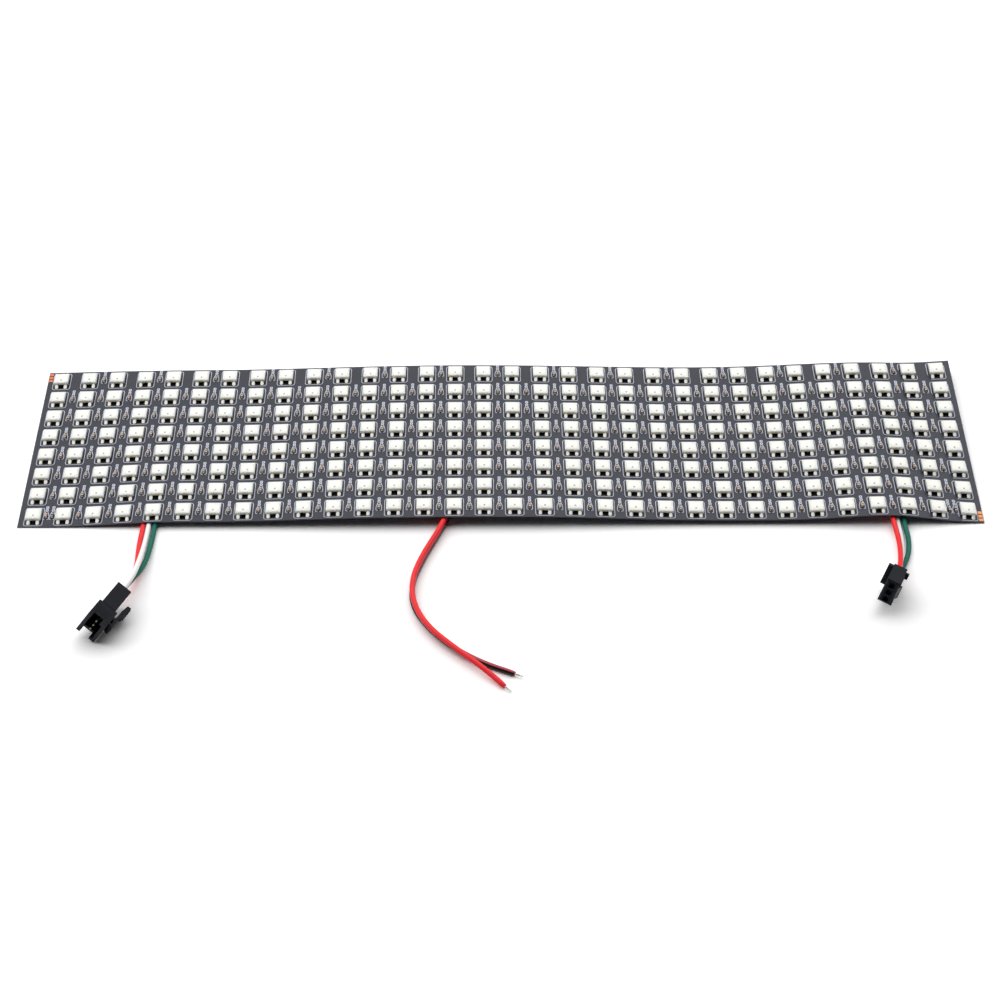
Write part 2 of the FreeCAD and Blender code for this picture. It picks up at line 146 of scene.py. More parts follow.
@dataclass(frozen=True)
class SpeckledFinish(Finish):
    """A moulded, printed or plated surface: two close shades over noise, with fine relief.

    The grain is the size of the shade pattern and the relief grain that of the bumps, both in millimetres, and the
    relief share is their height over their size. The depth in millimetres is how far red light goes below the surface.
    """

    shade: str
    second_shade: str
    roughness: float
    grain: float = 1.0
    relief_grain: float = 0.3
    relief: float = 0.1
    relief_share: float = 0.2
    metallic: float = 0.0
    subsurface: float = 0.0
    depth: float = 0.8
    depth_by_channel: Point = (1.0, 0.88, 0.7)
    specular: float = 0.5
    roughness_spread: float = 0.06

    def surface(self, tree: NodeTree) -> Node:
        """Build the shader.

        Args:
            tree: Node tree of the material.

        Returns:
            The principled shader node.
        """
        place = add_node(tree, "ShaderNodeTexCoord").outputs["Object"]
        pattern = add_node(tree, "ShaderNodeTexNoise", {"Vector": place, "Scale": 1 / (self.grain * MM), "Detail": 3.0})
        colour = add_node(tree, "ShaderNodeMix", {0: pattern.outputs["Fac"], 6: linear(self.shade),
                                                  7: linear(self.second_shade)}, data_type="RGBA")
        fine = add_node(tree, "ShaderNodeTexNoise", {"Vector": place, "Scale": 1 / (self.relief_grain * MM),
                                                     "Detail": 2.0})
        rough = add_node(tree, "ShaderNodeMapRange", {"Value": fine.outputs["Fac"],
                                                      "To Min": self.roughness - self.roughness_spread,
                                                      "To Max": self.roughness + self.roughness_spread})
        bump = add_node(tree, "ShaderNodeBump", {"Height": fine.outputs["Fac"], "Strength": self.relief,
                                                 "Distance": self.relief_grain * MM * self.relief_share})
        values = {"Base Color": colour.outputs[2], "Roughness": rough.outputs[0], "Normal": bump.outputs[0],
                  "Metallic": self.metallic}
        if not self.metallic:
            values |= {"IOR": PLASTIC_IOR, "Specular IOR Level": self.specular}
        if self.subsurface:
            values |= {"Subsurface Weight": self.subsurface, "Subsurface Radius": self.depth_by_channel,
                       "Subsurface Scale": self.depth * MM}
        return add_node(tree, "ShaderNodeBsdfPrincipled", values)


@dataclass(frozen=True)
class TopStripeFinish(Finish):
    """Extruded vinyl with a stripe of a second colour along the top of the wire, placed by the curve's own UV map."""

    shade: str
    stripe_shade: str
    roughness: float
    specular: float
    stripe_middle: float
    stripe_half_width: float
    stripe_blur: float = 0.04

    def surface(self, tree: NodeTree) -> Node:
        """Build the shader.

        Args:
            tree: Node tree of the material.

        Returns:
            The principled shader node.
        """
        around = add_node(tree, "ShaderNodeSeparateXYZ", {0: add_node(tree, "ShaderNodeTexCoord").outputs["UV"]})
        aside = add_node(tree, "ShaderNodeMath", {0: around.outputs["Y"], 1: self.stripe_middle}, operation="SUBTRACT")
        aside = add_node(tree, "ShaderNodeMath", {0: aside.outputs[0]}, operation="ABSOLUTE")
        cover = add_node(tree, "ShaderNodeMapRange", {
            "Value": aside.outputs[0], "From Min": self.stripe_half_width,
            "From Max": self.stripe_half_width + self.stripe_blur, "To Min": 1.0, "To Max": 0.0})
        colour = add_node(tree, "ShaderNodeMix", {0: cover.outputs[0], 6: linear(self.shade),
                                                  7: linear(self.stripe_shade)}, data_type="RGBA")
        return add_node(tree, "ShaderNodeBsdfPrincipled", {
            "Base Color": colour.outputs[2], "IOR": PLASTIC_IOR, "Roughness": self.roughness,
            "Specular IOR Level": self.specular})


@dataclass(frozen=True)
class StudioFloorFinish(Finish):
    """Pale studio paper: it keeps the object's shadow and shows white to the camera and in reflections."""

    name: str = "white_studio_paper"
    shade: str = "#f4f4f5"
    second_shade: str = "#f6f6f6"
    fibre: float = 2.5
    shown_gain: float = 1.3

    def surface(self, tree: NodeTree) -> Node:
        """Build the shader.

        Args:
            tree: Node tree of the material.

        Returns:
            The diffuse shader node.
        """
        path = add_node(tree, "ShaderNodeLightPath")
        seen = path.outputs["Is Camera Ray"]
        for ray in ("Is Glossy Ray", "Is Transmission Ray"):
            seen = add_node(tree, "ShaderNodeMath", {0: seen, 1: path.outputs[ray]}, operation="MAXIMUM").outputs[0]
        place = add_node(tree, "ShaderNodeTexCoord").outputs["Object"]
        fibre = add_node(tree, "ShaderNodeTexNoise", {"Vector": place, "Scale": 1 / (self.fibre * MM)})
        paper = add_node(tree, "ShaderNodeMix", {0: fibre.outputs["Fac"], 6: linear(self.shade),
                                                 7: linear(self.second_shade)}, data_type="RGBA")
        gain = add_node(tree, "ShaderNodeMapRange", {"Value": seen, "To Min": 1.0, "To Max": self.shown_gain})
        colour = add_node(tree, "ShaderNodeVectorMath", {0: paper.outputs[2], "Scale": gain.outputs[0]},
                          operation="SCALE")
        return add_node(tree, "ShaderNodeBsdfDiffuse", {"Color": colour.outputs[0]})


# Black polyimide coverlay over copper: a smooth satin film, whose sheen lifts it to a dark grey; the bluish tint of
# that sheen is painted into its colour.
COVERLAY = SpeckledFinish("black_polyimide_coverlay", "#191d2b", "#1e2232", 0.42, grain=9.0, relief_grain=1.6,
                          relief=0.05, specular=0.42)
# Painted shade on the film in front of and behind every LED and under every chip: a near-black patch where the packages
# keep the light off.
PAINTED_SHADE_FILM = SpeckledFinish("painted_shade_on_film", "#151518", "#1c1c1f", 0.5, grain=1.0)
# The gap between the leads of a package, where the film lies deep in shade.
GAP = SpeckledFinish("shaded_base_film", "#040302", "#070605", 0.7, grain=1.0, specular=0.1)
# Screen-printed epoxy ink: flat, a little transparent, so it looks a pale lavender grey over the black film.
INK = SpeckledFinish("white_silkscreen_ink", "#bdc1d0", "#ced2e2", 0.55, grain=0.8)
# Injection-moulded polyphthalamide: warm white with a soft sheen, and light goes a little way into it.
LED_BODY = SpeckledFinish("white_polyphthalamide_moulding", "#f7f3e4", "#faf6ea", 0.38, grain=2.0, subsurface=1.0,
                         depth=2.2)
# Dispensed silicone: cloudy and glossy, level with the rim of the package.
LED_RESIN = SpeckledFinish("cloudy_silicone_encapsulant", "#fbfaf2", "#f8f7ec", 0.2, grain=1.2, relief=0.03,
                           subsurface=0.2)
# Silicon die under the silicone: only a pale grey spot comes through.
LED_DIE = SpeckledFinish("silicon_die_under_silicone", "#a8a39a", "#b9b4ab", 0.3, grain=0.5)
# Reflowed tin solder: bright, smooth and a little wavy.
SOLDER = SpeckledFinish("reflowed_tin_solder", "#dcdad4", "#e8e6e0", 0.34, grain=0.8, relief_grain=0.5, relief=0.25,
                        metallic=1.0)
# The same solder where it climbs the leads of the packages: frosted, so it looks white under a soft light.
LEAD_SOLDER = SpeckledFinish("frosted_tin_fillet", "#eae8e0", "#f4f2ec", 0.42, grain=0.8, relief_grain=0.5, relief=0.2,
                             metallic=0.2)
# Sintered ceramic chip: matt, from olive to reddish brown, which differs from chip to chip.
CERAMIC = SpeckledFinish("sintered_brown_ceramic", "#5f7048", "#c98a78", 0.5, grain=13.0)
# Plated tin over the ends of the chips: dull silver.
PLATING = SpeckledFinish("dull_tin_plating", "#b9b5a9", "#cfcbc0", 0.42, grain=0.4, metallic=1.0)
# Glass glaze over a thick-film resistor: glossy near-black.
GLAZE = SpeckledFinish("black_resistor_glaze", "#17171a", "#202024", 0.25, grain=0.6)
# Bare etched copper with a thin clear coat against tarnish.
COPPER = SpeckledFinish("bare_etched_copper", "#b5754a", "#c4875b", 0.35, grain=0.7, metallic=1.0)
# The same copper on the pads at the other end, painted a little redder for the different light that falls on them.
COPPER_IN_PAINTED_LIGHT = SpeckledFinish("copper_with_painted_light", "#b9694a", "#c97b5a", 0.4, grain=0.7, metallic=1.0)
# Injection-moulded nylon: satin black, with a sheen on its edges; the bluish tint of that sheen is painted into its
# colour.
NYLON = SpeckledFinish("black_nylon_moulding", "#080a15", "#0c0f1c", 0.34, grain=1.5, relief_grain=0.25, relief=0.12,
                       specular=0.13)
# Stamped and tinned contact strip.
CONTACT = SpeckledFinish("tinned_contact_strip", "#c9c4b6", "#d8d4c8", 0.28, grain=0.5, metallic=1.0)
# Tinned copper strands, twisted and bright.
STRAND = SpeckledFinish("tinned_copper_strand", "#b4b1a8", "#d2d0c8", 0.3, grain=0.3, metallic=1.0)


class Insulation(Enum):
    """Colours of the extruded vinyl on the wires: a smooth satin skin."""

    RED = SpeckledFinish("red_vinyl_insulation", "#f0272d", "#f63037", 0.36, grain=2.0, relief_grain=0.4, relief=0.08,
                         specular=0.22)
    WHITE = SpeckledFinish("white_vinyl_insulation", "#f8f8f7", "#fbfbfa", 0.36, grain=2.0, relief_grain=0.4,
                           relief=0.08)
    GREEN = SpeckledFinish("green_vinyl_insulation", "#076152", "#0b6c5b", 0.36, grain=2.0, relief_grain=0.4,
                           relief=0.08, specular=0.2)
    # Black, with a red stripe along its top.
    BLACK = TopStripeFinish("black_vinyl_with_red_top_stripe", "#0b0a0c", "#b23a46", 0.33, 0.3, stripe_middle=0.13,
                         stripe_half_width=0.11)


# ---------------- helpers


def kept_mesh(bm: BMesh, name: str = "stencil") -> Mesh:
    """Keep a shape as a mesh, such as a small one in millimetres that is copied many times.

    Args:
        bm: The shape, which is freed.
        name: Name of the mesh.

    Returns:
        The mesh.
    """
    mesh = bpy.data.meshes.new(name)
    bm.to_mesh(mesh)
    bm.free()
    return mesh


def new_object(name: str, data: ID) -> Object:
    """Add an object to the scene.

    Args:
        name: Name of the object.
        data: Its mesh, curve, lamp or camera.

    Returns:
        The object.
    """
    thing = bpy.data.objects.new(name, data)
    bpy.context.scene.collection.objects.link(thing)
    return thing


def mesh_piece(name: str, bm: BMesh, finishes: Sequence[Finish], smooth_degrees: float = 35.0) -> Object:
    """Turn a bmesh in metres into a finished piece of the object.

    Args:
        name: Name of the piece.
        bm: Its shape, which is freed.
        finishes: One finish for each material index of the faces.
        smooth_degrees: Edges that turn more than this stay sharp.

    Returns:
        The piece, riding on the part's body.
    """
    mesh = kept_mesh(bm, name)
    for finish in finishes:
        mesh.materials.append(finish.material())
    mesh.polygons.foreach_set("use_smooth", [True] * len(mesh.polygons))
    mesh.set_sharp_from_angle(angle=math.radians(smooth_degrees))
    piece = new_object(name, mesh)
    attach(piece, "root")
    LOG.info("%s: %d faces", name, len(mesh.polygons))
    return piece


def dress(nodes: dict[str, Object], finish: Finish, *names: str) -> None:
    """Give CAD nodes that stay their finish.

    Args:
        nodes: The CAD nodes by name.
        finish: The finish.
        *names: Names of the nodes that get it.
    """
    for name in names:
        nodes[name].data.materials.clear()
        nodes[name].data.materials.append(finish.material())


def pointing(place: Sequence[float], direction: Sequence[float]) -> Matrix:
    """Placement at a place with its +Z axis along a direction."""
    return Matrix.Translation(place) @ Vector(direction).to_track_quat("Z", "Y").to_matrix().to_4x4()


def stamp(bm: BMesh, shape: Mesh, seats: Sequence[Matrix]) -> None:
    """Add a copy of a stencil at each seat.

    Args:
        bm: Shape in metres that gets the copies.
        shape: The stencil, in millimetres.
        seats: Placements from stencil millimetres to metres.
    """
    for seat in seats:
        first = len(bm.verts)
        bm.from_mesh(shape)
        bm.verts.ensure_lookup_table()
        bmesh.ops.transform(bm, matrix=seat, verts=bm.verts[first:])


def add_box(bm: BMesh, low: Sequence[float], high: Sequence[float], bevel: float = 0.0,
            segments: int = 1, material: int = 0) -> None:
    """Add a box with bevelled edges.

    Args:
        bm: Shape that gets the box.
        low: Lowest corner.
        high: Highest corner.
        bevel: Width of the bevel, or 0 for none.
        segments: Steps round each bevel.
        material: Material index of its faces.
    """
    first = len(bm.faces)
    size = [b - a for a, b in zip(low, high)]
    middle = Vector([(a + b) / 2 for a, b in zip(low, high)])
    corners = bmesh.ops.create_cube(bm, size=1.0, matrix=Matrix.Translation(middle) @ Matrix.Diagonal((*size, 1.0)))
    if bevel:
        edges = list({edge for vert in corners["verts"] for edge in vert.link_edges})
        bmesh.ops.bevel(bm, geom=edges, offset=bevel, segments=segments, profile=0.5, affect="EDGES", material=-1)
    bm.faces.ensure_lookup_table()
    for face in bm.faces[first:]:
        face.material_index = material


# ---------------- sheet


@dataclass
class SheetShape:
    """The wavy form of the printed sheet: its underside is ruled between two smooth long edges.

    Each station is the place along X with the lift of the front and of the back edge off the floor.
    """

    length: float = 320.0
    width: float = 80.0
    thickness: float = 0.3
    solder_film: float = 0.05
    slope_reach: float = 1.0
    stations: tuple[Point, ...] = (
        (-160.0, 0.0, 0.4), (-140.0, 0.5, 0.9), (-116.1, 2.0, 1.3), (-88.1, 2.3, 1.5), (-54.0, 3.4, 2.4),
        (-18.0, 3.9, 3.0), (20.0, 3.6, 2.5), (50.0, 2.4, 1.7), (85.6, 1.8, 1.7), (108.6, 2.5, 2.7),
        (131.6, 3.5, 3.3), (145.8, 1.6, 3.1), (160.0, 0.0, 3.9))
    edges: list[Callable[[float], float]] = field(default_factory=list)

    def __post_init__(self) -> None:
        """Fit both edges."""
        places = [station[0] for station in self.stations]
        self.edges = [self.smooth_edge(places, [station[side] for station in self.stations]) for side in (1, 2)]

    @staticmethod
    def smooth_edge(places: Sequence[float], lifts: Sequence[float]) -> Callable[[float], float]:
        """Fit the smooth cubic curve through an edge's stations.

        Args:
            places: Stations along X.
            lifts: Height of the edge at each.

        Returns:
            A function from the place along X to the height.
        """
        x, y = np.array(places), np.array(lifts)
        count, step = len(x), np.diff(x)
        matrix, right = np.eye(count), np.zeros(count)
        right[1:-1] = 6 * np.diff(np.diff(y) / step)
        for row in range(1, count - 1):
            matrix[row, row - 1:row + 2] = step[row - 1], 2 * (step[row - 1] + step[row]), step[row]
        bend = np.linalg.solve(matrix, right)

        def height(place: float) -> float:
            """Work out the height of the edge.

            Args:
                place: Place along X.

            Returns:
                The height.
            """
            cell = int(np.clip(np.searchsorted(x, place) - 1, 0, count - 2))
            wide = step[cell]
            after, before = (place - x[cell]) / wide, (x[cell + 1] - place) / wide
            return float(before * y[cell] + after * y[cell + 1] + wide * wide / 6 * (
                (before ** 3 - before) * bend[cell] + (after ** 3 - after) * bend[cell + 1]))

        return height

    def underside(self, x: float, y: float) -> float:
        """Height of the underside at a place."""
        share = y / self.width + 0.5
        return self.edges[0](x) * (1 - share) + self.edges[1](x) * share

    def seat(self, x: float, y: float, lift: float = 0.0) -> Matrix:
        """Find the placement square to the sheet's face.

        Args:
            x: Place along the rows.
            y: Place across the rows.
            lift: Height above the face, negative below it.

        Returns:
            A matrix from millimetres about that place to metres in the part's frame.
        """
        reach = self.slope_reach
        along = Vector((2 * reach, 0.0, self.underside(x + reach, y) - self.underside(x - reach, y))).normalized()
        across = Vector((0.0, 2 * reach, self.underside(x, y + reach) - self.underside(x, y - reach)))
        normal = along.cross(across).normalized()
        across = normal.cross(along)
        origin = Vector((x, y, self.underside(x, y))) + normal * (self.thickness + lift)
        turn = Matrix((along, across, normal)).transposed().to_4x4()
        return Matrix.Scale(MM, 4) @ Matrix.Translation(origin) @ turn


@dataclass
class LedGrid:
    """Places of the LEDs and of the chips between them; two gaps of the front row also hold a resistor."""

    columns: int = 32
    rows: int = 8
    pitch: float = 10.0
    pair_spacing: float = 2.1
    resistor_gaps: tuple[int, ...] = (0, 30)

    def column_x(self, column: float) -> float:
        """Place of a column, counted from 0 at the left."""
        return (column - (self.columns - 1) / 2) * self.pitch

    def row_y(self, row: int) -> float:
        """Place of a row, counted from 0 at the back."""
        return ((self.rows - 1) / 2 - row) * self.pitch

    def row_places(self, row: int) -> list[Place]:
        """Places of the LEDs of one row."""
        return [(self.column_x(column), self.row_y(row)) for column in range(self.columns)]

    def led_places(self) -> list[Place]:
        """Places of all LEDs."""
        return [place for row in range(self.rows) for place in self.row_places(row)]

    def capacitor_places(self, row: int) -> list[Place]:
        """Place the capacitors of one row; the back row has one in every other gap.

        Args:
            row: The row, counted from 0 at the back.

        Returns:
            Their places.
        """
        gaps = range(1, self.columns - 1, 2) if row == 0 else range(self.columns - 1)
        aside = self.resistor_gaps if row == self.rows - 1 else ()
        return [(self.column_x(gap + 0.5) - (self.pair_spacing / 2 if gap in aside else 0.0), self.row_y(row))
                for gap in gaps]

    def resistor_places(self) -> list[Place]:
        """Places of the two resistors."""
        row = self.row_y(self.rows - 1)
        return [(self.column_x(gap + 0.5) + self.pair_spacing / 2, row) for gap in self.resistor_gaps]

    def chip_places(self) -> list[Place]:
        """Places of all capacitors and resistors."""
        return [place for row in range(self.rows) for place in self.capacitor_places(row)] + self.resistor_places()


@dataclass
class PrintedSheet:
    """The flexible printed sheet with its ink, the painted shade round its packages and chips, and its pads.

    Places in the print and the painted shade count from the middle of their LED or chip, negative in front of it.
    """

    shape: SheetShape
    grid: LedGrid
    cells_along: int = 200
    cells_across: int = 16
    ink_height: float = 0.03
    outline_width: float = 6.4
    outline_front: float = -4.5
    outline_back: float = 4.2
    outline_corner: float = 0.9
    outline_line: float = 0.22
    bracket_outside: tuple[Place, ...] = ((0.3, -1.6), (0.75, -1.6), (1.05, -1.2), (1.0, 0.4), (0.45, 2.3))
    bracket_inside: tuple[Place, ...] = ((0.3, -1.38), (0.7, -1.38), (0.83, -1.1), (0.78, 0.35), (0.23, 2.22))
    mark_front: float = 2.3
    mark_back: float = 5.0
    mark_width: float = 1.0
    mark_gap: float = 0.08
    mark_corner: float = 0.25
    mark_line: float = 0.36
    patch_half_width: float = 2.62
    patch_start: float = 2.0
    patch_front: float = -4.0
    patch_back: float = 3.6
    patch_height: float = 0.015
    gap_half_width: float = 0.85
    gap_front: float = -3.7
    gap_height: float = 0.0225
    chip_patch: Place = (0.95, 1.25)
    pad: Point = (0.9, 1.6, 0.04)
    pad_edge: float = 0.01
    data_pads_x: tuple[float, ...] = (-118.2, -116.1, -114.0, 129.7, 131.6, 133.5)
    data_pads_y: float = -29.6
    power_pads_x: tuple[float, ...] = (-17.5, -14.1)
    power_pads_y: float = -26.6

    def build(self) -> None:
        """Build the sheet and what is printed on it."""
        self.sheet()
        self.lay_painted_shade()
        self.ink()
        self.pads_underneath()

    def sheet(self) -> None:
        """Build the sheet itself: a grid that follows the wave of its underside, thickened upwards."""
        bm = bmesh.new()
        bmesh.ops.create_grid(bm, x_segments=self.cells_along, y_segments=self.cells_across, size=0.5,
                              matrix=Matrix.Diagonal((self.shape.length, self.shape.width, 1.0, 1.0)))
        for vert in bm.verts:
            vert.co.z = self.shape.underside(vert.co.x, vert.co.y)
        body = bmesh.ops.extrude_face_region(bm, geom=list(bm.faces))
        raised = [part for part in body["geom"] if isinstance(part, BMVert)]
        bmesh.ops.translate(bm, vec=(0.0, 0.0, self.shape.thickness), verts=raised)
        bmesh.ops.recalc_face_normals(bm, faces=bm.faces)
        bmesh.ops.scale(bm, vec=(MM, MM, MM), verts=bm.verts)
        sheet = mesh_piece("flexible_sheet", bm, [COVERLAY])
        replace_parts(sheet, "flexible_board")

    def rounded_line(self, low: Place, high: Place, corner: float, line: float) -> Mesh:
        """Make a printed rounded rectangle as a closed raised line.

        Args:
            low: Front left corner of its outer edge.
            high: Back right corner of its outer edge.
            corner: Radius of its corners.
            line: Width of the line.

        Returns:
            The stencil.
        """
        bm = bmesh.new()
        middle = ((low[0] + high[0]) / 2, (low[1] + high[1]) / 2, self.ink_height)
        size = Matrix.Diagonal((high[0] - low[0], high[1] - low[1], 1.0, 1.0))
        bmesh.ops.create_grid(bm, x_segments=1, y_segments=1, size=0.5, matrix=Matrix.Translation(middle) @ size)
        bmesh.ops.bevel(bm, geom=list(bm.verts), offset=corner, segments=2, profile=0.5, affect="VERTICES", material=-1)
        bmesh.ops.inset_region(bm, faces=list(bm.faces), thickness=line, use_boundary=True)
        inside = min(bm.faces, key=lambda face: (face.calc_center_median() - Vector(middle)).length)
        bmesh.ops.delete(bm, geom=[inside], context="FACES")
        bmesh.ops.solidify(bm, geom=list(bm.faces), thickness=self.ink_height)
        return kept_mesh(bm)

    def bracket(self) -> Mesh:
        """Make the printed bracket round a capacitor: two sides that close in towards the mark behind it.

        Returns:
            The stencil.
        """
        bm = bmesh.new()
        for side in (-1, 1):
            outer, inner = ([bm.verts.new((side * x, y, self.ink_height)) for x, y in edge]
                            for edge in (self.bracket_outside, self.bracket_inside))
            edges = [bm.edges.new(pair) for edge in (outer, inner) for pair in zip(edge, edge[1:])]
            bmesh.ops.bridge_loops(bm, edges=edges)
        bmesh.ops.recalc_face_normals(bm, faces=bm.faces)
        if sum(face.normal.z for face in bm.faces) < 0:
            bmesh.ops.reverse_faces(bm, faces=bm.faces)
        bmesh.ops.solidify(bm, geom=list(bm.faces), thickness=self.ink_height)
        return kept_mesh(bm)

    def mark(self) -> Mesh:
        """Make the small printed mark behind a capacitor: two plain closed loops in line.

        Returns:
            The stencil.
        """
        bm = bmesh.new()
        half = self.mark_width / 2
        step = (self.mark_back - self.mark_front) / 2
        for number in (0, 1):
            low = self.mark_front + number * step + self.mark_gap
            high = low + step - 2 * self.mark_gap
            bm.from_mesh(self.rounded_line((-half, low), (half, high), self.mark_corner, self.mark_line))
        return kept_mesh(bm)

    def ink(self) -> None:
        """Print the outline of every LED, and the bracket and mark of every chip."""
        half = self.outline_width / 2
        outline = self.rounded_line((-half, self.outline_front), (half, self.outline_back), self.outline_corner,
                                    self.outline_line)
        bm = bmesh.new()
        stamp(bm, outline, [self.shape.seat(x, y) for x, y in self.grid.led_places()])
        mesh_piece("led_outlines_ink", bm, [INK])
        bm = bmesh.new()
        seats = [self.shape.seat(x, y) for x, y in self.grid.chip_places()]
        for shape in (self.bracket(), self.mark()):
            stamp(bm, shape, seats)
        mesh_piece("chip_brackets_ink", bm, [INK])

    def lay_painted_shade(self) -> None:
        """Lay painted shade on the film in front of and behind every LED and under every chip, and deeper painted shade
        between the front joints.
        """
        bm = bmesh.new()
        half, start, high = self.patch_half_width, self.patch_start, self.patch_height
        led = bmesh.new()
        add_box(led, (-half, self.patch_front, 0.0), (half, -start, high))
        add_box(led, (-self.gap_half_width, self.gap_front, 0.0), (self.gap_half_width, -start, self.gap_height),
                material=1)
        add_box(led, (-half, start, 0.0), (half, self.patch_back, high))
        stamp(bm, kept_mesh(led), [self.shape.seat(x, y) for x, y in self.grid.led_places()])
        chip = bmesh.new()
        wide, long = self.chip_patch
        add_box(chip, (-wide, -long, 0.0), (wide, long, high))
        stamp(bm, kept_mesh(chip), [self.shape.seat(x, y) for x, y in self.grid.chip_places()])
        mesh_piece("painted_shade_patches", bm, [PAINTED_SHADE_FILM, GAP])

    def pads_underneath(self) -> None:
        """Lay the tinned pads round the wires' solder joints on the underside."""
        bm = bmesh.new()
        pad = bmesh.new()
        wide, long, thick = self.pad
        add_box(pad, (-wide, -long, -thick), (wide, long, 0.0), bevel=self.pad_edge)
        places = [(x, self.data_pads_y) for x in self.data_pads_x] + [(x, self.power_pads_y) for x in self.power_pads_x]
        stamp(bm, kept_mesh(pad), [self.shape.seat(x, y, -self.shape.thickness) for x, y in places])
        mesh_piece("wire_pads_underneath", bm, [SOLDER])


# ---------------- LEDs and chips


@dataclass
class LedPackages:
    """The LED packages: moulded body over a set-back foot, silicone window, die spot and solder joints."""

    shape: SheetShape
    grid: LedGrid
    side: float = 5.0
    height: float = 1.6
    edge: float = 0.12
    foot_height: float = 0.4
    foot_setback: float = 0.5
    foot_inset: float = 0.1
    foot_overlap: float = 0.1
    window_radius: float = 1.95
    window_steps: int = 16
    window_rise: float = 0.02
    window_slope: float = 0.1
    die_half_width: float = 0.3
    die_front: float = -1.4
    die_back: float = -0.65
    die_rise: float = 0.01
    die_thickness: float = 0.02
    joint_x: float = 1.54
    joint_width: float = 1.2
    joint_height: float = 0.95
    joint_reach: float = 4.05
    joint_reach_behind: float = 3.55
    joint_overlap: float = 0.05
    joint_edge: float = 0.36
    joint_fall: float = 0.84
    joint_hollow: float = 0.75
    joint_taper: float = 0.12

    def build(self) -> None:
        """Build one piece for each row, and the solder joints of all rows."""
        package = self.package()
        film = self.shape.solder_film
        for row in range(self.grid.rows):
            bm = bmesh.new()
            stamp(bm, package, [self.shape.seat(x, y, film) for x, y in self.grid.row_places(row)])
            piece = mesh_piece(f"led_packages_row_{row + 1}", bm, [LED_BODY, LED_RESIN, LED_DIE])
            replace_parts(piece, f"led_row_{row + 1}")
        bm = bmesh.new()
        stamp(bm, self.joints(), [self.shape.seat(x, y) for x, y in self.grid.led_places()])
        mesh_piece("led_solder_joints", bm, [LEAD_SOLDER])

    def package(self) -> Mesh:
        """Make one package.

        Returns:
            The stencil, with the body, window and die as materials 0, 1 and 2.
        """
        bm = bmesh.new()
        half = self.side / 2
        foot, foot_half = half - self.foot_setback, half - self.foot_inset
        add_box(bm, (-half, -half, self.foot_height), (half, half, self.height), bevel=self.edge)
        add_box(bm, (-foot_half, -foot, 0.0), (foot_half, foot, self.foot_height + self.foot_overlap))
        top = max(bm.faces, key=lambda face: face.calc_center_median().z)
        rim = list(top.edges)
        bmesh.ops.delete(bm, geom=[top], context="FACES_ONLY")
        circle = bmesh.ops.create_circle(bm, segments=self.window_steps, radius=self.window_radius,
                                         matrix=Matrix.Translation((0.0, 0.0, self.height)))
        ring = list({edge for vert in circle["verts"] for edge in vert.link_edges})
        bmesh.ops.triangle_fill(bm, edges=rim + ring, use_beauty=True)
        window = bmesh.ops.contextual_create(bm, geom=ring)["faces"]
        bmesh.ops.recalc_face_normals(bm, faces=bm.faces)
        step = bmesh.ops.inset_region(bm, faces=window, thickness=self.window_slope, depth=self.window_rise)
        for face in (*window, *step["faces"]):
            face.material_index = 1
        die_top = self.height + self.window_rise + self.die_rise
        add_box(bm, (-self.die_half_width, self.die_front, die_top - self.die_thickness),
                (self.die_half_width, self.die_back, die_top), material=2)
        bmesh.ops.recalc_face_normals(bm, faces=bm.faces)
        return kept_mesh(bm)

    def joints(self) -> Mesh:
        """Make the four solder joints of one package: wedges that climb its front and back.

        Returns:
            The stencil.
        """
        bm = bmesh.new()
        wall = self.side / 2 - self.joint_overlap
        for outwards, reach in ((-1, self.joint_reach), (1, self.joint_reach_behind)):
            for middle in (-self.joint_x, self.joint_x):
                first = len(bm.verts)
                left, right = middle - self.joint_width / 2, middle + self.joint_width / 2
                low, high = sorted((outwards * wall, outwards * reach))
                add_box(bm, (left, low, 0.0), (right, high, self.joint_height), bevel=self.joint_edge, segments=2)
                bm.verts.ensure_lookup_table()
                for vert in bm.verts[first:]:
                    share = (abs(vert.co.y) - wall) / (reach - wall)
                    vert.co.z *= 1.0 - self.joint_fall * max(share, 0.0) ** self.joint_hollow
                    vert.co.x = middle + (vert.co.x - middle) * (1.0 - self.joint_taper * share ** 2)
        return kept_mesh(bm)


